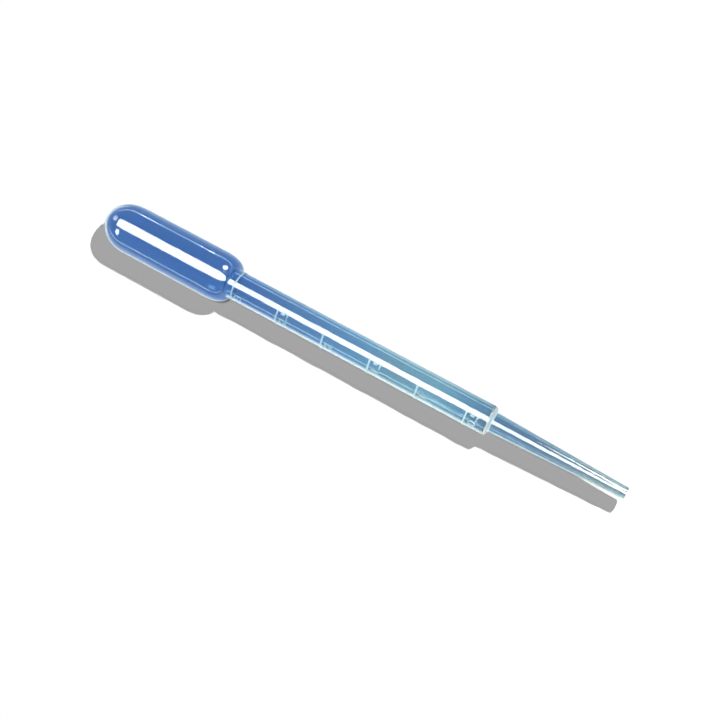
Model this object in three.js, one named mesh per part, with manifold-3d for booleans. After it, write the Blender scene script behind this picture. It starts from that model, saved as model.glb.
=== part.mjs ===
// A graduated transfer pipette, lying on its side with its axis along +X and its tip pointing to +X.
// The real pipette is one blow moulding of polyethylene. Each zone of the moulding is a mesh of its own:
// the zones meet face to face, and the two walls that fingers press are free to move inwards.
// Millimetres, +Z up. The origin is under the middle of the pipette, on the surface that it lies on.
import * as THREE from "three";
import { mergeVertices } from "three/addons/utils/BufferGeometryUtils.js";
import Module from "manifold-3d";

const wasm = await Module();
wasm.setup();

// Bulb: a rounded end, a straight barrel, and a shoulder that closes down to the stem.
const BULB_DIAMETER = 13.6;
const BULB_WALL = 0.5;
const DOME_DEPTH = 8.4;
const BARREL_LENGTH = 27.2;
const SHOULDER_ROUND = 5.2;
const NECK_FILLET = 0.6;

// Pressed walls: one on each side of the barrel, with round ends.
const PAD_LENGTH = 20;
const PAD_HEIGHT = 8.4;
const PAD_GAP = 0.3;

// Stem: a straight tube.
const STEM_DIAMETER = 8.0;
const STEM_WALL = 0.61;
const STEM_LENGTH = 76;

// Step: a rounded corner and a fillet that bring the stem down to the tip.
const STEP_CORNER = 0.9;
const STEP_FILLET = 0.4;

// Tip: a tapered tube, cut square at its end.
const TIP_LENGTH = 36.1;
const TIP_ROOT_DIAMETER = 5.4;
const TIP_ROOT_WALL = 0.6;
const TIP_END_DIAMETER = 3.1;
const TIP_END_WALL = 0.6;

// Graduations: raised arcs on one side of the stem, one for each step of volume in cubic millimetres.
// The arcs run from MARK_FROM to MARK_TO degrees, measured from the top of the stem towards -Y.
const MARK_VOLUME = 500;
const MARK_WIDTH = 0.4;
const MARK_HEIGHT = 0.14;
const MARK_FROM = 5;
const MARK_TO = 102;

// The arcs start inside the stem's wall, so that they are one piece with it.
const MARK_ROOT = 0.2;

const FACETS = 32;
const ARC_STEPS = 8;

const BULB_RADIUS = BULB_DIAMETER / 2;
const STEM_RADIUS = STEM_DIAMETER / 2;
const STEM_BORE = STEM_DIAMETER - 2 * STEM_WALL;
const TIP_ROOT_RADIUS = TIP_ROOT_DIAMETER / 2;
const TIP_ROOT_BORE = TIP_ROOT_DIAMETER - 2 * TIP_ROOT_WALL;
const TIP_END_BORE = TIP_END_DIAMETER - 2 * TIP_END_WALL;
const SHOULDER_LENGTH = SHOULDER_ROUND + NECK_FILLET;
const STEP_LENGTH = STEP_CORNER + STEP_FILLET;
const BULB_LENGTH = DOME_DEPTH + BARREL_LENGTH + SHOULDER_LENGTH;
const TOTAL_LENGTH = BULB_LENGTH + STEM_LENGTH + STEP_LENGTH + TIP_LENGTH;

// The barrel lies on the middle of a facet, so its axis is one flat-to-centre distance up.
const AXIS_HEIGHT = BULB_RADIUS * Math.cos(Math.PI / FACETS);

const BULB_PLASTIC = new THREE.MeshStandardMaterial({ color: 0x4471b1, roughness: 0.12, metalness: 0 });
const STEM_PLASTIC = new THREE.MeshStandardMaterial({ color: 0x76a6c4, roughness: 0.12, metalness: 0 });
const TIP_PLASTIC = new THREE.MeshStandardMaterial({ color: 0x9cbfd3, roughness: 0.12, metalness: 0 });

// Points of a quarter ellipse in a profile's plane, where x is along the axis and y is the radius.
// It runs round the centre from one angle to the other, in quarter turns, and both ends are included.
function quarter(centreX, centreR, sizeX, sizeR, fromQuarter, toQuarter) {
  const points = [];
  for (let i = 0; i <= ARC_STEPS; i++) {
    const angle = ((fromQuarter + ((toQuarter - fromQuarter) * i) / ARC_STEPS) * Math.PI) / 2;
    points.push([centreX + sizeX * Math.cos(angle), Math.max(0, centreR + sizeR * Math.sin(angle))]);
  }
  return points;
}

// A solid of revolution about +X. The profile lists [along, radius] points: the outer line towards the tip,
// then the inner line back. It either starts and ends on the axis or is closed here.
function revolved(outer, inner) {
  const line = [...outer, ...inner];
  const startsOnAxis = outer[0][1] === 0;
  if (!startsOnAxis) line.push(outer[0]);
  const points = line.map(([along, radius]) => new THREE.Vector2(radius, along));
  const halfFacet = Math.PI / FACETS;
  return new THREE.LatheGeometry(points, FACETS, halfFacet).rotateZ(-Math.PI / 2);
}

function solidOf(geometry) {
  const bare = geometry.clone();
  bare.deleteAttribute("normal");
  bare.deleteAttribute("uv");
  const merged = mergeVertices(bare, 1e-4);
  return new wasm.Manifold(
    new wasm.Mesh({
      numProp: 3,
      vertProperties: new Float32Array(merged.attributes.position.array),
      triVerts: new Uint32Array(merged.index.array),
    }),
  );
}

function geometryOf(solid) {
  const { vertProperties, triVerts } = solid.getMesh();
  const geometry = new THREE.BufferGeometry();
  geometry.setAttribute("position", new THREE.BufferAttribute(vertProperties, 3));
  geometry.setIndex(new THREE.BufferAttribute(triVerts, 1));
  geometry.computeVertexNormals();
  return geometry;
}

// Rounded end of the bulb: half an ellipsoid, closed at its pole.
function domeGeometry() {
  const outer = quarter(DOME_DEPTH, 0, DOME_DEPTH, BULB_RADIUS, 2, 1);
  const inner = quarter(DOME_DEPTH, 0, DOME_DEPTH - BULB_WALL, BULB_RADIUS - BULB_WALL, 1, 2);
  return revolved(outer, inner);
}

function barrelTube() {
  const innerRadius = BULB_RADIUS - BULB_WALL;
  return revolved(
    [
      [0, BULB_RADIUS],
      [BARREL_LENGTH, BULB_RADIUS],
    ],
    [
      [BARREL_LENGTH, innerRadius],
      [0, innerRadius],
    ],
  );
}

// A block with round ends that runs sideways out of the barrel, in its middle, on the side given by
// sideSign. It is as large as the pressed wall, grown all round by margin.
function padBlock(sideSign, margin) {
  const radius = PAD_HEIGHT / 2 + margin;
  const halfStraight = (PAD_LENGTH - PAD_HEIGHT) / 2;
  const outline = new THREE.Shape();
  outline.absarc(halfStraight, 0, radius, -Math.PI / 2, Math.PI / 2);
  outline.absarc(-halfStraight, 0, radius, Math.PI / 2, (3 * Math.PI) / 2);
  const depth = 2 * BULB_RADIUS;
  const block = new THREE.ExtrudeGeometry(outline, { depth, bevelEnabled: false, curveSegments: 2 * ARC_STEPS });
  block.rotateX((-sideSign * Math.PI) / 2);
  block.translate(BARREL_LENGTH / 2, 0, 0);
  return solidOf(block);
}

// Barrel of the bulb, with an opening on each side for the pressed walls.
function barrelGeometry() {
  const tube = solidOf(barrelTube());
  return geometryOf(tube.subtract(padBlock(1, PAD_GAP)).subtract(padBlock(-1, PAD_GAP)));
}

function pressedWallGeometry(sideSign) {
  return geometryOf(solidOf(barrelTube()).intersect(padBlock(sideSign, 0)));
}

// Shoulder of the bulb: a rounded corner and then a fillet onto the stem.
function shoulderGeometry() {
  const turnRadius = STEM_RADIUS + NECK_FILLET;
  const outer = [
    ...quarter(0, turnRadius, SHOULDER_ROUND, BULB_RADIUS - turnRadius, 1, 0),
    ...quarter(SHOULDER_LENGTH, turnRadius, NECK_FILLET, NECK_FILLET, 2, 3).slice(1),
  ];
  const innerDrop = turnRadius - STEM_BORE / 2;
  const inner = [
    ...quarter(SHOULDER_LENGTH, turnRadius, NECK_FILLET + BULB_WALL, innerDrop, 3, 2),
    ...quarter(0, turnRadius, SHOULDER_ROUND - BULB_WALL, BULB_RADIUS - BULB_WALL - turnRadius, 0, 1).slice(1),
  ];
  return revolved(outer, inner);
}

function stemTube() {
  return revolved(
    [
      [0, STEM_RADIUS],
      [STEM_LENGTH, STEM_RADIUS],
    ],
    [
      [STEM_LENGTH, STEM_BORE / 2],
      [0, STEM_BORE / 2],
    ],
  );
}

function coneVolume(length, startDiameter, endDiameter) {
  const sum = startDiameter ** 2 + startDiameter * endDiameter + endDiameter ** 2;
  return (Math.PI / 12) * length * sum;
}

// Places of the graduations along the stem, from its bulb end. Each is where the pipette, filled from
// the tip, holds one more step of volume. As many are made as the stem has room for.
function markPlaces() {
  const belowStem = coneVolume(TIP_LENGTH, TIP_ROOT_BORE, TIP_END_BORE)
    + coneVolume(STEP_LENGTH, STEM_BORE, TIP_ROOT_BORE);
  const boreArea = (Math.PI / 4) * STEM_BORE ** 2;
  const places = [];
  const firstVolume = Math.ceil(belowStem / MARK_VOLUME) * MARK_VOLUME;
  for (let volume = firstVolume; ; volume += MARK_VOLUME) {
    const place = STEM_LENGTH - (volume - belowStem) / boreArea;
    if (place < MARK_WIDTH) return places;
    if (place < STEM_LENGTH - MARK_WIDTH) places.push(place);
  }
}

// A wedge about the axis from one angle to the other, measured from the top towards -Y.
function wedge(fromDegrees, toDegrees, length) {
  const reach = 2 * STEM_RADIUS;
  const outline = new THREE.Shape();
  outline.moveTo(0, 0);
  for (const degrees of [fromDegrees, (fromDegrees + toDegrees) / 2, toDegrees]) {
    const angle = THREE.MathUtils.degToRad(degrees);
    outline.lineTo(reach * Math.cos(angle), reach * Math.sin(angle));
  }
  const block = new THREE.ExtrudeGeometry(outline, { depth: length, bevelEnabled: false });
  const up = new THREE.Vector3(0, 0, 1);
  const side = new THREE.Vector3(0, -1, 0);
  const along = new THREE.Vector3(1, 0, 0);
  return solidOf(block.applyMatrix4(new THREE.Matrix4().makeBasis(up, side, along)));
}

// Stem with its raised graduations. Each arc is rooted in the stem's wall.
function stemGeometry() {
  const bottom = STEM_RADIUS - MARK_ROOT;
  const top = STEM_RADIUS + MARK_HEIGHT;
  let stem = solidOf(stemTube());
  for (const place of markPlaces()) {
    const start = place - MARK_WIDTH / 2;
    const end = place + MARK_WIDTH / 2;
    const ring = revolved(
      [
        [start, top],
        [end, top],
      ],
      [
        [end, bottom],
        [start, bottom],
      ],
    );
    const arc = solidOf(ring).intersect(wedge(MARK_FROM, MARK_TO, STEM_LENGTH));
    stem = stem.add(arc);
  }
  return geometryOf(stem);
}

// Step between the stem and the tip.
function stepGeometry() {
  const turnRadius = TIP_ROOT_RADIUS + STEP_FILLET;
  const outer = [
    ...quarter(0, turnRadius, STEP_CORNER, STEM_RADIUS - turnRadius, 1, 0),
    ...quarter(STEP_LENGTH, turnRadius, STEP_FILLET, STEP_FILLET, 2, 3).slice(1),
  ];
  const boreDrop = (STEM_BORE - TIP_ROOT_BORE) / 2;
  const inner = quarter(STEP_LENGTH, STEM_BORE / 2, STEP_LENGTH, boreDrop, 3, 2);
  return revolved(outer, inner);
}

function tipGeometry() {
  return revolved(
    [
      [0, TIP_ROOT_RADIUS],
      [TIP_LENGTH, TIP_END_DIAMETER / 2],
    ],
    [
      [TIP_LENGTH, TIP_END_BORE / 2],
      [0, TIP_ROOT_BORE / 2],
    ],
  );
}

const pipette = new THREE.Group();
pipette.position.set(-TOTAL_LENGTH / 2, 0, AXIS_HEIGHT);

function addZone(name, geometry, material, along) {
  const mesh = new THREE.Mesh(geometry, material);
  mesh.name = name;
  mesh.position.x = along;
  pipette.add(mesh);
}

const BARREL_START = DOME_DEPTH;
const SHOULDER_START = BARREL_START + BARREL_LENGTH;
const STEM_START = SHOULDER_START + SHOULDER_LENGTH;
const STEP_START = STEM_START + STEM_LENGTH;
const TIP_START = STEP_START + STEP_LENGTH;

addZone("bulb_dome", domeGeometry(), BULB_PLASTIC, 0);
addZone("bulb_barrel", barrelGeometry(), BULB_PLASTIC, BARREL_START);
addZone("thumb_wall", pressedWallGeometry(1), BULB_PLASTIC, BARREL_START);
addZone("finger_wall", pressedWallGeometry(-1), BULB_PLASTIC, BARREL_START);
addZone("bulb_shoulder", shoulderGeometry(), BULB_PLASTIC, SHOULDER_START);
addZone("graduated_stem", stemGeometry(), STEM_PLASTIC, STEM_START);
addZone("stem_step", stepGeometry(), STEM_PLASTIC, STEP_START);
addZone("dropper_tip", tipGeometry(), TIP_PLASTIC, TIP_START);

const model = new THREE.Group();
model.add(pipette);

export default model;
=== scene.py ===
"""A graduated transfer pipette of translucent blue plastic, lying on a white table."""

import math

import bpy
from mathutils import Matrix, Vector


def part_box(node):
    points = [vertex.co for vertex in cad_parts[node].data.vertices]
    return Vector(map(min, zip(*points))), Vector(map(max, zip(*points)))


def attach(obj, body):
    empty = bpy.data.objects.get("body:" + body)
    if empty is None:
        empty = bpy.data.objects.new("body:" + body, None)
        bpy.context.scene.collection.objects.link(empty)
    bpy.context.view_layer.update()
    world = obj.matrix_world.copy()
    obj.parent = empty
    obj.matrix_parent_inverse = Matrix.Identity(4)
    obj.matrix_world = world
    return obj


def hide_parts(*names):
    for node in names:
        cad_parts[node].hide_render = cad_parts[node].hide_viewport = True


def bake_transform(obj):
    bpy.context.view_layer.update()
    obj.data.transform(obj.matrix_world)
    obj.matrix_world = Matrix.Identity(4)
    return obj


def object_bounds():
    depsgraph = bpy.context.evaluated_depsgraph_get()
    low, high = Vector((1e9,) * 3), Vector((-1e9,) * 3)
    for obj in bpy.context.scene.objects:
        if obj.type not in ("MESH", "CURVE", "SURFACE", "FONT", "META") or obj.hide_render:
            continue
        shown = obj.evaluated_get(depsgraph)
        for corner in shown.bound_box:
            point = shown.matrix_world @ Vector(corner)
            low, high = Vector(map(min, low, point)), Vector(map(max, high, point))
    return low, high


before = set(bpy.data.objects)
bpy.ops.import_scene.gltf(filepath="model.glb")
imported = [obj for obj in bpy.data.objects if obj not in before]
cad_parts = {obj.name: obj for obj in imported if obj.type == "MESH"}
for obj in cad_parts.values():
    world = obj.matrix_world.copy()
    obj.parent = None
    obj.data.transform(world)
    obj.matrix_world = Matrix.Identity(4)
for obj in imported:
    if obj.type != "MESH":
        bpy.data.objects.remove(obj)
cad_low, cad_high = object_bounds()

# ---------------------------------------------------------------- sizes, in metres, from the CAD nodes

barrel_low, barrel_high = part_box("bulb_barrel")
stem_low, stem_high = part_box("graduated_stem")
step_low, step_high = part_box("stem_step")
tip_low, tip_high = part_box("dropper_tip")

AXIS_Z = (cad_low.z + cad_high.z) / 2
POLE_X = cad_low.x
BARREL_X = barrel_low.x
SHOULDER_X = barrel_high.x
STEM_X = stem_low.x
STEP_X = step_low.x
TIP_X = tip_low.x
END_X = tip_high.x

# The CAD's rounds have 32 sides with a flat on top. The bulb keeps to the flats, so that it lies on the
# table, and the stem and tip keep to the corners.
CORNER = 1 / math.cos(math.pi / 32)
BULB_RADIUS = (barrel_high.z - barrel_low.z) / 2
STEM_RADIUS = (step_high.z - step_low.z) / 2 * CORNER
TIP_ROOT_RADIUS = (tip_high.z - tip_low.z) / 2 * CORNER

# Walls, fillets and the tip's end, as in the CAD.
BULB_WALL = 0.0005
STEM_WALL = 0.00061
NECK_FILLET = 0.0006
STEP_CORNER = 0.0009
STEP_FILLET = 0.0004
TIP_ROOT_WALL = 0.0006
TIP_END_RADIUS = 0.00155
TIP_END_WALL = 0.0006

# The tip's rim is rounded by this much.
TIP_RIM = 0.0001

# Graduations: half a millilitre apart, raised on the stem from near its top round towards -Y. Angles are
# measured from the top.
MILLILITRE = 1e-6
MARK_VOLUME = 0.5 * MILLILITRE
MARK_HALF_WIDTH = 0.00022
MARK_HEIGHT = 0.00014
MARK_FROM = math.radians(5)
MARK_TO = math.radians(102)
MARK_FADE = math.radians(5)

# How finely the rounds are divided, and how far apart rows along a straight stretch may be.
AROUND = 144
ARC_STEPS = 16
RIM_STEPS = 5
BULB_ROW = 0.0008
STEM_ROW = 0.0012

# Rows lie closer at a graduation. The stem's ordinary rows keep MARK_CLEAR from its middle.
MARK_ROW = MARK_HALF_WIDTH / 4
MARK_ROWS_A_SIDE = 5
MARK_CLEAR = 1.6 * MARK_HALF_WIDTH

# A profile point closer to the axis than this is on it.
ON_AXIS = 1e-7


# ---------------------------------------------------------------- profiles, as lists of (x, radius)


def quarter(centre_x, centre_r, size_x, size_r, start, end, steps=ARC_STEPS):
    """Points of an ellipse round a centre, from one angle to another in quarter turns."""
    points = []
    for i in range(steps + 1):
        angle = (start + (end - start) * i / steps) * math.pi / 2
        points.append((centre_x + size_x * math.cos(angle), centre_r + size_r * math.sin(angle)))
    return points


def straight(x0, r0, x1, r1, longest):
    """Points along a line, without its two ends, no further apart than longest."""
    count = max(1, math.ceil(abs(x1 - x0) / longest))
    return [(x0 + (x1 - x0) * i / count, r0 + (r1 - r0) * i / count) for i in range(1, count)]


def bulb_profile(inset):
    """The bulb from its pole to the neck: its outside at inset 0, its inside at the wall's thickness."""
    radius = BULB_RADIUS - inset
    turn = STEM_RADIUS + NECK_FILLET
    drop = turn - (STEM_RADIUS if inset == 0 else STEM_RADIUS - STEM_WALL)
    round_x = STEM_X - NECK_FILLET - SHOULDER_X
    line = quarter(BARREL_X, 0, BARREL_X - POLE_X - inset, radius, 2, 1, 2 * ARC_STEPS)
    line += straight(BARREL_X, radius, SHOULDER_X, radius, BULB_ROW)
    line += quarter(SHOULDER_X, turn, round_x - inset, radius - turn, 1, 0)
    line += quarter(STEM_X, turn, NECK_FILLET + inset, drop, 2, 3)[1:]
    return line


def mark_places():
    """Places of the graduations along the stem: where the pipette holds one more half millilitre."""
    bore = STEM_RADIUS - STEM_WALL
    root = TIP_ROOT_RADIUS - TIP_ROOT_WALL
    end = TIP_END_RADIUS - TIP_END_WALL
    tip = math.pi / 3 * (END_X - TIP_X) * (root * root + root * end + end * end)
    step = math.pi / 3 * (TIP_X - STEP_X) * (bore * bore + bore * root + root * root)
    places = []
    volume = MARK_VOLUME
    while True:
        place = STEP_X - (volume - tip - step) / (math.pi * bore * bore)
        if place < STEM_X + MARK_HALF_WIDTH:
            return places
        places.append(place)
        volume += MARK_VOLUME


MARKS = mark_places()


def stem_outside():
    """The stem, step and tip from the neck to the tip's rim. Close rows take over at the graduations."""
    xs = {STEM_X}
    xs |= {x for x, _ in straight(STEM_X, STEM_RADIUS, STEP_X, STEM_RADIUS, STEM_ROW)}
    for mark in MARKS:
        rows = {mark + MARK_ROW * k for k in range(-MARK_ROWS_A_SIDE, MARK_ROWS_A_SIDE + 1)}
        xs = {x for x in xs if abs(x - mark) > MARK_CLEAR or x == STEM_X}
        xs |= {x for x in rows if x > STEM_X}
    line = [(x, STEM_RADIUS) for x in sorted(xs)]
    turn = TIP_ROOT_RADIUS + STEP_FILLET
    line += quarter(STEP_X, turn, STEP_CORNER, STEM_RADIUS - turn, 1, 0)
    line += quarter(TIP_X, turn, STEP_FILLET, STEP_FILLET, 2, 3)[1:]
    line += straight(TIP_X, TIP_ROOT_RADIUS, END_X - TIP_RIM, TIP_END_RADIUS, STEM_ROW)
    line += quarter(END_X - TIP_RIM, TIP_END_RADIUS - TIP_RIM, TIP_RIM, TIP_RIM, 1, 0, RIM_STEPS)
    return line


def stem_inside():
    """The bore, from the tip's rim back to the neck."""
    bore = STEM_RADIUS - STEM_WALL
    root = TIP_ROOT_RADIUS - TIP_ROOT_WALL
    end = TIP_END_RADIUS - TIP_END_WALL
    line = quarter(END_X - TIP_RIM, end + TIP_RIM, TIP_RIM, TIP_RIM, 4, 3, RIM_STEPS)
    line += straight(END_X - TIP_RIM, end, TIP_X, root, STEM_ROW)
    line += quarter(TIP_X, bore, TIP_X - STEP_X, bore - root, 3, 2)
    line += straight(STEP_X, bore, STEM_X, bore, STEM_ROW)
    line.append((STEM_X, bore))
    return line


# ---------------------------------------------------------------- meshes


def mark_rise(x, angle):
    """How far the stem's surface stands out. The graduation at the neck runs round both sides."""
    nearest = min(abs(x - mark) for mark in MARKS)
    if nearest >= MARK_HALF_WIDTH:
        return 0.0
    across = math.cos(nearest / MARK_HALF_WIDTH * math.pi / 2) ** 0.5
    turn = (angle + math.pi) % (2 * math.pi) - math.pi
    start = -MARK_TO if abs(x - MARKS[-1]) < MARK_HALF_WIDTH else MARK_FROM
    into = min(turn - start, MARK_TO - turn) / MARK_FADE
    along = min(1.0, max(0.0, into))
    return MARK_HEIGHT * across * along * along * (3 - 2 * along)


def line_normals(line):
    """Outward directions of a profile's points, as (x, radius) pairs, when it runs towards the tip."""
    normals = []
    for i in range(len(line)):
        before = line[max(0, i - 1)]
        after = line[min(len(line) - 1, i + 1)]
        dx, dr = after[0] - before[0], after[1] - before[1]
        size = math.hypot(dx, dr) or 1.0
        normals.append((-dr / size, dx / size))
    return normals


def revolve(name, lines, angles, closed, rise=None):
    """A mesh of surfaces of revolution about the pipette's axis.

    lines holds (profile, normal sign) pairs. Angles are measured from the top towards -Y. A profile point
    on the axis becomes one vertex, and rise, if given, lifts the first profile's points.
    """
    vertices, normals, faces = [], [], []
    for number, (line, sign) in enumerate(lines):
        rings = []
        for (x, r), (nx, nr) in zip(line, line_normals(line)):
            if r < ON_AXIS:
                rings.append([len(vertices)] * len(angles))
                vertices.append((x, 0.0, AXIS_Z))
                normals.append((-sign, 0.0, 0.0))
                continue
            rings.append(list(range(len(vertices), len(vertices) + len(angles))))
            for angle in angles:
                lifted = r + (rise(x, angle) if rise and number == 0 else 0.0)
                side, up = -math.sin(angle), math.cos(angle)
                vertices.append((x, lifted * side, AXIS_Z + lifted * up))
                normals.append((sign * nx, sign * nr * side, sign * nr * up))
        columns = len(angles) if closed else len(angles) - 1
        for near, far in zip(rings, rings[1:]):
            for i in range(columns):
                j = (i + 1) % len(angles)
                corners = [near[i], near[j], far[j], far[i]]
                if sign < 0:
                    corners.reverse()
                faces.append(list(dict.fromkeys(corners)))
    mesh = bpy.data.meshes.new(name)
    mesh.from_pydata(vertices, [], faces)
    mesh.shade_smooth()
    return mesh, normals


def add_piece(name, data):
    """Puts a mesh, a lamp or a camera into the scene."""
    piece = bpy.data.objects.new(name, data)
    bpy.context.scene.collection.objects.link(piece)
    return piece


def bulb_half(name, side):
    """Half of the bulb's wall, from its parting line on top, round one side, to the one below."""
    count = AROUND // 2
    start = math.pi if side > 0 else 0.0
    angles = [start + math.pi * i / count for i in range(count + 1)]
    lines = [(bulb_profile(0), 1), (bulb_profile(BULB_WALL), -1)]
    mesh, normals = revolve(name, lines, angles, closed=False)
    mesh.normals_split_custom_set_from_vertices(normals)
    return add_piece(name, mesh)


# The stem's second material is that of its raised marks and of the step. It covers a graduation from a
# share of its height on, and the step from a little way into its corner. It is rougher and less clear than
# the body, and its
# paler colour is painted highlight: the light lines that the ridges and the step's corner catch.
MARK_AND_HIGHLIGHT_SLOT = 1
PAINTED_HIGHLIGHT_MARK_SHARE = 0.3
PAINTED_HIGHLIGHT_STEP_X = STEP_X + STEP_CORNER / 3


def in_marks_and_painted_highlight(x, y, z):
    """Whether the stem's surface there belongs to a raised graduation or to the step, which take the
    painted highlight.
    """
    height = z - AXIS_Z
    radius = math.hypot(y, height)
    raised = mark_rise(x, math.atan2(-y, height)) > PAINTED_HIGHLIGHT_MARK_SHARE * MARK_HEIGHT
    on_step = PAINTED_HIGHLIGHT_STEP_X < x < TIP_X
    return (raised and radius > STEM_RADIUS) or (on_step and radius > TIP_ROOT_RADIUS)


def make_stem():
    """The stem, step and tip as one closed wall."""
    angles = [2 * math.pi * i / AROUND for i in range(AROUND)]
    profile = stem_outside() + stem_inside()
    mesh, _ = revolve("stem_and_tip", [(profile, 1)], angles, closed=True, rise=mark_rise)
    # Faces of the raised marks and of the step take the second material, whose paler colour is painted
    # highlight.
    for face in mesh.polygons:
        if in_marks_and_painted_highlight(*face.center):
            face.material_index = MARK_AND_HIGHLIGHT_SLOT
    return add_piece("stem_and_tip", mesh)


# ---------------------------------------------------------------- build and ride


def ride_squeeze(piece):
    """Bakes the piece's placing into its mesh."""
    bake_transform(piece)


thumb_half = bulb_half("bulb_thumb_half", 1)
finger_half = bulb_half("bulb_finger_half", -1)
stem = make_stem()

ride_squeeze(thumb_half)
ride_squeeze(finger_half)
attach(stem, "moulding")
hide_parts("thumb_wall", "bulb_barrel")
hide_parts("finger_wall", "bulb_dome", "bulb_shoulder")
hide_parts("graduated_stem", "stem_step", "dropper_tip")


# ---------------------------------------------------------------- numerals


def volume_label(number):
    """The plain number beside a graduation, in millilitres."""
    return f"{number * MARK_VOLUME / MILLILITRE:g}"


NUMERAL_HEIGHT = 0.0021
NUMERAL_GAP = 0.0009
NUMERAL_RISE = 0.00016
NUMERAL_BEVEL = 0.00003
NUMERAL_BOLDER = 0.00002
NUMERAL_START = math.radians(53)
FONT_CAPITAL = 0.7


def numeral(number, mark):
    """A raised numeral bent round the stem. It reads upright when the bulb is held uppermost."""
    name = f"numeral_{number}"
    curve = bpy.data.curves.new(name, "FONT")
    curve.body = volume_label(number)
    curve.size = NUMERAL_HEIGHT / FONT_CAPITAL
    curve.align_x = "LEFT"
    curve.extrude = NUMERAL_RISE / 2
    curve.bevel_depth = NUMERAL_BEVEL
    curve.bevel_resolution = 1
    curve.offset = NUMERAL_BOLDER
    text = bpy.data.objects.new(name, curve)
    bpy.context.scene.collection.objects.link(text)
    bpy.context.view_layer.update()
    graph = bpy.context.evaluated_depsgraph_get()
    mesh = bpy.data.meshes.new_from_object(text.evaluated_get(graph))
    bpy.data.objects.remove(text)
    top_x = mark + MARK_HALF_WIDTH + NUMERAL_GAP
    for vertex in mesh.vertices:
        across, up, out = vertex.co
        radius = STEM_RADIUS + NUMERAL_RISE / 2 + out
        angle = NUMERAL_START - across / STEM_RADIUS
        x = top_x + NUMERAL_HEIGHT - up
        vertex.co = (x, -radius * math.sin(angle), AXIS_Z + radius * math.cos(angle))
    mesh.shade_smooth()
    piece = add_piece(name, mesh)
    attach(piece, "moulding")
    return piece


numerals = [numeral(i + 1, mark) for i, mark in enumerate(MARKS)]


# ---------------------------------------------------------------- materials


def linear(red, green, blue):
    """A colour given as 0 to 255 steps of a screen, as the linear values that shaders take."""
    out = []
    for value in (red, green, blue):
        v = value / 255
        out.append(v / 12.92 if v <= 0.04045 else ((v + 0.055) / 1.055) ** 2.4)
    return (*out, 1.0)


# Colours along the pipette: (share of its length, colour). They pale along the stem and deepen again where
# the tip begins.
BODY_COLOURS = [
    (0.00, linear(89, 159, 220)),
    (0.27, linear(89, 159, 220)),
    (0.36, linear(121, 175, 221)),
    (0.50, linear(143, 196, 230)),
    (0.58, linear(160, 205, 225)),
    (0.66, linear(164, 210, 228)),
    (0.73, linear(138, 189, 215)),
    (0.80, linear(124, 171, 203)),
    (0.88, linear(132, 172, 196)),
    (0.96, linear(158, 188, 198)),
]
# Paler colours of the marks, numerals and step, paling towards the tip: painted highlight for the light
# lines they catch.
MARK_PAINTED_HIGHLIGHT_COLOURS = [
    (0.25, linear(150, 205, 225)),
    (0.75, linear(205, 232, 236)),
]

PLASTIC_IOR = 1.45
RIPPLE_DEPTH = 0.0003


def add_ripples(material, shader, scale, strength):
    """Shallow unevenness of a blown surface."""
    nodes, links = material.node_tree.nodes, material.node_tree.links
    place = nodes.new("ShaderNodeTexCoord")
    ripples = nodes.new("ShaderNodeTexNoise")
    ripples.inputs["Scale"].default_value = scale
    ripples.inputs["Detail"].default_value = 2
    bump = nodes.new("ShaderNodeBump")
    bump.inputs["Strength"].default_value = strength
    bump.inputs["Distance"].default_value = RIPPLE_DEPTH
    links.new(place.outputs["Object"], ripples.inputs["Vector"])
    links.new(ripples.outputs["Fac"], bump.inputs["Height"])
    links.new(bump.outputs["Normal"], shader.inputs["Normal"])


def colour_along(material, shader, colours):
    """The base colour follows a list of (share of the pipette's length, colour)."""
    nodes, links = material.node_tree.nodes, material.node_tree.links
    place = nodes.new("ShaderNodeTexCoord")
    split = nodes.new("ShaderNodeSeparateXYZ")
    share = nodes.new("ShaderNodeMapRange")
    share.inputs["From Min"].default_value = POLE_X
    share.inputs["From Max"].default_value = END_X
    ramp = nodes.new("ShaderNodeValToRGB")
    stops = ramp.color_ramp.elements
    while len(stops) < len(colours):
        stops.new(0.5)
    for stop, (position, colour) in zip(stops, colours):
        stop.position = position
        stop.color = colour
    links.new(place.outputs["Object"], split.inputs["Vector"])
    links.new(split.outputs["X"], share.inputs["Value"])
    links.new(share.outputs["Result"], ramp.inputs["Fac"])
    links.new(ramp.outputs["Color"], shader.inputs["Base Color"])


def plastic(name, colours, roughness, transmission, ripple_scale, ripple_strength):
    """A translucent moulded plastic. Light that goes through it takes its colour."""
    material = bpy.data.materials.new(name)
    material.use_nodes = True
    shader = material.node_tree.nodes["Principled BSDF"]
    shader.inputs["Roughness"].default_value = roughness
    shader.inputs["IOR"].default_value = PLASTIC_IOR
    shader.inputs["Transmission Weight"].default_value = transmission
    colour_along(material, shader, colours)
    add_ripples(material, shader, ripple_scale, ripple_strength)
    return material


def make_body_plastic():
    """Clear and glossy, with long shallow waves."""
    return plastic(
        "blue_polyethylene",
        BODY_COLOURS,
        roughness=0.08,
        transmission=0.85,
        ripple_scale=180,
        ripple_strength=0.08,
    )


def make_marks_and_highlight_plastic():
    """Raised marks, numerals and the step: rougher and less clear, so they scatter more of the light. Their
    paler colour is painted highlight.
    """
    return plastic(
        "blue_polyethylene_marks_painted_highlight",
        MARK_PAINTED_HIGHLIGHT_COLOURS,
        roughness=0.25,
        transmission=0.35,
        ripple_scale=900,
        ripple_strength=0.1,
    )


body_plastic = make_body_plastic()
marks_and_highlight_plastic = make_marks_and_highlight_plastic()
for piece in (thumb_half, finger_half, stem):
    piece.data.materials.append(body_plastic)
# The marks, numerals and step take the paler material; its colour is painted highlight.
for piece in (stem, *numerals):
    piece.data.materials.append(marks_and_highlight_plastic)


# ---------------------------------------------------------------- table and world

TABLE_HALF = 6.0
TABLE_DROP = 0.00002
WHITE_FROM = 0.11
WHITE_TO = 0.18
SKY_STRENGTH = 0.12


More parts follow.
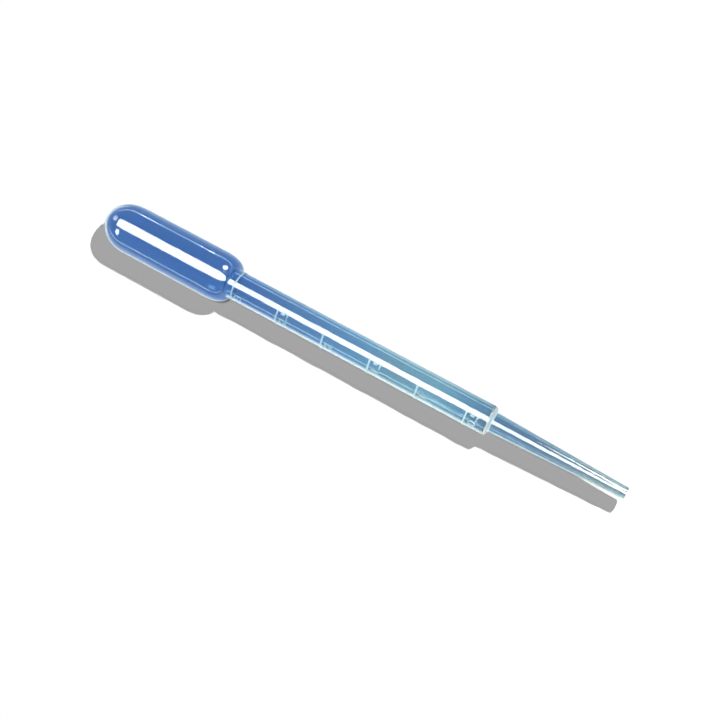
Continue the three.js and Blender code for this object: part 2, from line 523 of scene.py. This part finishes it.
def maths(owner, operation, first, second):
    """A node, in a material or a world, that works out one number from two others."""
    node = owner.node_tree.nodes.new("ShaderNodeMath")
    node.operation = operation
    owner.node_tree.links.new(first, node.inputs[0])
    owner.node_tree.links.new(second, node.inputs[1])
    return node.outputs["Value"]


def white_table():
    """A matt white that keeps shadows. It is plain white far off, in gloss and through the plastic."""
    material = bpy.data.materials.new("white_table")
    material.use_nodes = True
    nodes, links = material.node_tree.nodes, material.node_tree.links
    shader = nodes["Principled BSDF"]
    shader.inputs["Base Color"].default_value = (0.9, 0.9, 0.9, 1)
    shader.inputs["Roughness"].default_value = 0.9
    shader.inputs["Specular IOR Level"].default_value = 0.0
    white = nodes.new("ShaderNodeEmission")
    white.inputs["Strength"].default_value = 1.0

    place = nodes.new("ShaderNodeTexCoord")
    distance = nodes.new("ShaderNodeVectorMath")
    distance.operation = "LENGTH"
    far = nodes.new("ShaderNodeMapRange")
    far.inputs["From Min"].default_value = WHITE_FROM
    far.inputs["From Max"].default_value = WHITE_TO
    links.new(place.outputs["Object"], distance.inputs[0])
    links.new(distance.outputs["Value"], far.inputs["Value"])

    path = nodes.new("ShaderNodeLightPath")
    seen_far = maths(material, "MULTIPLY", far.outputs["Result"], path.outputs["Is Camera Ray"])
    through = maths(material, "MAXIMUM", path.outputs["Is Glossy Ray"], path.outputs["Is Transmission Ray"])
    mix = nodes.new("ShaderNodeMixShader")
    links.new(maths(material, "MAXIMUM", seen_far, through), mix.inputs["Fac"])
    links.new(shader.outputs["BSDF"], mix.inputs[1])
    links.new(white.outputs["Emission"], mix.inputs[2])
    links.new(mix.outputs["Shader"], nodes["Material Output"].inputs["Surface"])
    return material


def make_floor():
    """The table, a hair below the bulb so that the two don't share a surface."""
    mesh = bpy.data.meshes.new("table_top")
    half = TABLE_HALF
    corners = [(x, y, -TABLE_DROP) for x, y in ((-half, -half), (half, -half), (half, half), (-half, half))]
    mesh.from_pydata(corners, [], [(0, 1, 2, 3)])
    table = add_piece("table_top", mesh)
    mesh.materials.append(white_table())
    return table


def make_world():
    """A dim sky that is plain white wherever it shows."""
    world = bpy.data.worlds.new("studio")
    bpy.context.scene.world = world
    world.use_nodes = True
    nodes, links = world.node_tree.nodes, world.node_tree.links
    sky = nodes["Background"]
    sky.inputs["Color"].default_value = (1, 1, 1, 1)
    path = nodes.new("ShaderNodeLightPath")
    seen = maths(world, "MAXIMUM", path.outputs["Is Camera Ray"], path.outputs["Is Transmission Ray"])
    shown = maths(world, "MAXIMUM", seen, path.outputs["Is Glossy Ray"])
    strength = nodes.new("ShaderNodeMapRange")
    strength.inputs["To Min"].default_value = SKY_STRENGTH
    strength.inputs["To Max"].default_value = 1.0
    links.new(shown, strength.inputs["Value"])
    links.new(strength.outputs["Result"], sky.inputs["Strength"])


# ---------------------------------------------------------------- light

# The key lamp is small and close by, for its spreading shadow. Its strength counts as a sun's does. The
# table has one more at the same place.
KEY_PLACE = (0.111, 0.184, 0.298)
KEY_RADIUS = 0.003
KEY_STRENGTH = 1.64
TABLE_KEY_STRENGTH = 1.7
SIDE_FILL_STEP = (0, 0.92, -0.4)
SIDE_FILL_STRENGTH = 1.6
SIDE_FILL_DEGREES = 20
OVERHEAD_STRENGTH = 0.96
OVERHEAD_DEGREES = 6

# Soft boxes show in the gloss only. The long one overhead makes the highlight.
SOFTBOX_PLACE = (0.6, 0, 0.45)
SOFTBOX_TARGET = (0.6, 0, 0)
SOFTBOX_LENGTH = 2.4
SOFTBOX_WIDTH = 0.31
SOFTBOX_RADIANCE = 28

# Strips far out on both sides brighten the light lines along the edges.
STRIP_OUT = 0.7
STRIP_LENGTH = 3.0
STRIP_RADIANCE = 7
STRIP_COLOUR = (0.8, 1.0, 0.9)

# Boxes just above the table stand for its white glow along the lower edges and round the dome.
GLOW_Z = 0.0002
GLOW_COLOUR = (1.0, 0.95, 0.7)

# Narrow boxes low on the thumb side make two bright dashes on the bulb's light line.
RIM_SPOT_XS = (-0.412, -0.338)
RIM_SPOT_Z = 0.067
RIM_SPOT_LENGTH = 0.004
RIM_SPOT_WIDTH = 0.04
RIM_SPOT_RADIANCE = 150

# Small round boxes make the dots on the bulb: (name, direction from its centre, length, width, radiance).
SPOTS = [
    ("shoulder_spot", (0.309, 0.731, 0.608), 0.4, 0.4, 26),
    ("dome_spot", (-0.62, -0.57, 0.54), 0.24, 0.40, 20),
    ("pole_spot", (-0.921, 0.108, 0.374), 0.3, 0.3, 7),
]


def add_lamp(name, light, lit=()):
    """A lamp that isn't seen itself. With lit, it lights only those pieces."""
    lamp = add_piece(name, light)
    lamp.visible_camera = False
    if lit:
        group = bpy.data.collections.new(f"lit_by_{name}")
        for piece in lit:
            group.objects.link(piece)
        lamp.light_linking.receiver_collection = group
    return lamp


def sun(name, step, strength, degrees, lit=()):
    """Even light along a direction."""
    light = bpy.data.lights.new(name, "SUN")
    light.energy = strength
    light.angle = math.radians(degrees)
    lamp = add_lamp(name, light, lit)
    lamp.visible_glossy = False
    lamp.rotation_mode = "QUATERNION"
    lamp.rotation_quaternion = Vector(step).to_track_quat("-Z", "Y")


def near_lamp(name, place, strength, lit=()):
    """A small lamp close by, for its spreading shadow, that is as bright at any distance."""
    light = bpy.data.lights.new(name, "POINT")
    light.energy = 4 * math.pi * strength
    light.shadow_soft_size = KEY_RADIUS
    light.use_nodes = True
    nodes, links = light.node_tree.nodes, light.node_tree.links
    falloff = nodes.new("ShaderNodeLightFalloff")
    falloff.inputs["Strength"].default_value = 1.0
    links.new(falloff.outputs["Constant"], nodes["Emission"].inputs["Strength"])
    lamp = add_lamp(name, light, lit)
    lamp.visible_glossy = False
    lamp.location = place


def area_lamp(name, place, target, length, width, radiance, lit=()):
    """A soft box of a given brightness that shows as a reflection in the gloss and adds no other light."""
    light = bpy.data.lights.new(name, "AREA")
    light.shape = "RECTANGLE"
    light.size = length
    light.size_y = width
    light.energy = radiance * math.pi * length * width
    lamp = add_lamp(name, light, lit)
    lamp.visible_diffuse = False
    lamp.visible_transmission = False
    back = (Vector(place) - Vector(target)).normalized()
    along = (Vector((1, 0, 0)) - back * back.x).normalized()
    turn = Matrix((along, back.cross(along), back)).transposed().to_4x4()
    lamp.matrix_world = Matrix.Translation(place) @ turn
    return lamp


def make_plain_light(pieces, table):
    """The light on the pipette and the table, with a little more for the table so that it turns white."""
    near_lamp("key_light", KEY_PLACE, KEY_STRENGTH)
    near_lamp("table_key_light", KEY_PLACE, TABLE_KEY_STRENGTH, lit=[table])
    sun("side_fill", SIDE_FILL_STEP, SIDE_FILL_STRENGTH, SIDE_FILL_DEGREES, lit=pieces)
    away_from_camera = (-math.sin(CAMERA_TILT), 0, -math.cos(CAMERA_TILT))
    sun("overhead_fill", away_from_camera, OVERHEAD_STRENGTH, OVERHEAD_DEGREES)


def make_strips(bulb, stem):
    """The bulb and the stem have their own strips, because their light lines lie differently."""
    strips = [
        ("bulb_thumb_strip", STRIP_OUT, 0.05, 0.07, bulb),
        ("bulb_finger_strip", -STRIP_OUT, 0.05, 0.07, bulb),
        ("stem_thumb_strip", STRIP_OUT, 0.05, 0.12, stem),
        ("stem_finger_strip", -STRIP_OUT, 0.2, 0.12, stem),
    ]
    for name, y, z, width, lit in strips:
        lamp = area_lamp(name, (0, y, z), (0, 0, AXIS_Z), STRIP_LENGTH, width, STRIP_RADIANCE, lit)
        lamp.data.color = STRIP_COLOUR


def make_table_glow(bulb, stem):
    """The glow along the lower edges is brighter on the stem than on the bulb."""
    boxes = [
        ("bulb", -0.04, -0.024, 0.18, 0.031, 0.75, bulb),
        ("dome", -0.107, 0.004, 0.04, 0.04, 1.6, bulb),
        ("stem", 0, -0.024, 0.18, 0.031, 3.2, stem),
    ]
    for name, x, y, length, width, radiance, lit in boxes:
        lamp = area_lamp(f"{name}_table_glow", (x, y, GLOW_Z), (x, y, 1), length, width, radiance, lit)
        lamp.data.color = GLOW_COLOUR


def make_highlight():
    """The long highlight on top."""
    sides = (SOFTBOX_LENGTH, SOFTBOX_WIDTH)
    area_lamp("overhead_softbox", SOFTBOX_PLACE, SOFTBOX_TARGET, *sides, SOFTBOX_RADIANCE)


def make_spots():
    """The bright dashes and dots on the bulb."""
    for number, x in enumerate(RIM_SPOT_XS, 1):
        place = (x, STRIP_OUT, RIM_SPOT_Z)
        target = (x, 0, AXIS_Z)
        area_lamp(f"rim_spot_{number}", place, target, RIM_SPOT_LENGTH, RIM_SPOT_WIDTH, RIM_SPOT_RADIANCE)
    bulb_centre = Vector(((BARREL_X + SHOULDER_X) / 2, 0, AXIS_Z))
    for name, direction, length, width, radiance in SPOTS:
        place = bulb_centre + Vector(direction).normalized()
        lamp = area_lamp(name, place, bulb_centre, length, width, radiance)
        lamp.data.shape = "ELLIPSE"


# ---------------------------------------------------------------- camera

CAMERA_TILT = math.radians(13.32)
CAMERA_ROLL = math.radians(28.23)
CAMERA_DISTANCE = 0.2769
CAMERA_AIM = (0.00374, -0.00199, AXIS_Z)
CAMERA_LENS = 54.0


def make_camera():
    """Looks down on the pipette, leaning a little towards its tip, turned about its line of sight."""
    data = bpy.data.cameras.new("camera")
    data.lens = CAMERA_LENS
    data.sensor_width = 36.0
    data.clip_start = 0.01
    data.clip_end = 20.0
    camera = add_piece("camera", data)
    back = Vector((math.sin(CAMERA_TILT), 0, math.cos(CAMERA_TILT)))
    along = Vector((math.cos(CAMERA_TILT), 0, -math.sin(CAMERA_TILT)))
    side = Vector((0, 1, 0))
    right = along * math.cos(CAMERA_ROLL) + side * math.sin(CAMERA_ROLL)
    up = side * math.cos(CAMERA_ROLL) - along * math.sin(CAMERA_ROLL)
    turn = Matrix((right, up, back)).transposed().to_4x4()
    camera.matrix_world = Matrix.Translation(Vector(CAMERA_AIM) + back * CAMERA_DISTANCE) @ turn
    bpy.context.scene.camera = camera


# ---------------------------------------------------------------- set the scene

# Light that bounces off the table doesn't meet the pieces, so that their shadow is neutral.
pieces = [thumb_half, finger_half, stem, *numerals]
for piece in pieces:
    piece.visible_diffuse = False

table = make_floor()
make_world()
make_plain_light(pieces, table)
make_highlight()
make_strips([thumb_half, finger_half], [stem])
make_table_glow([thumb_half, finger_half], [stem])
make_spots()
make_camera()

bpy.context.scene.view_settings.view_transform = "Standard"
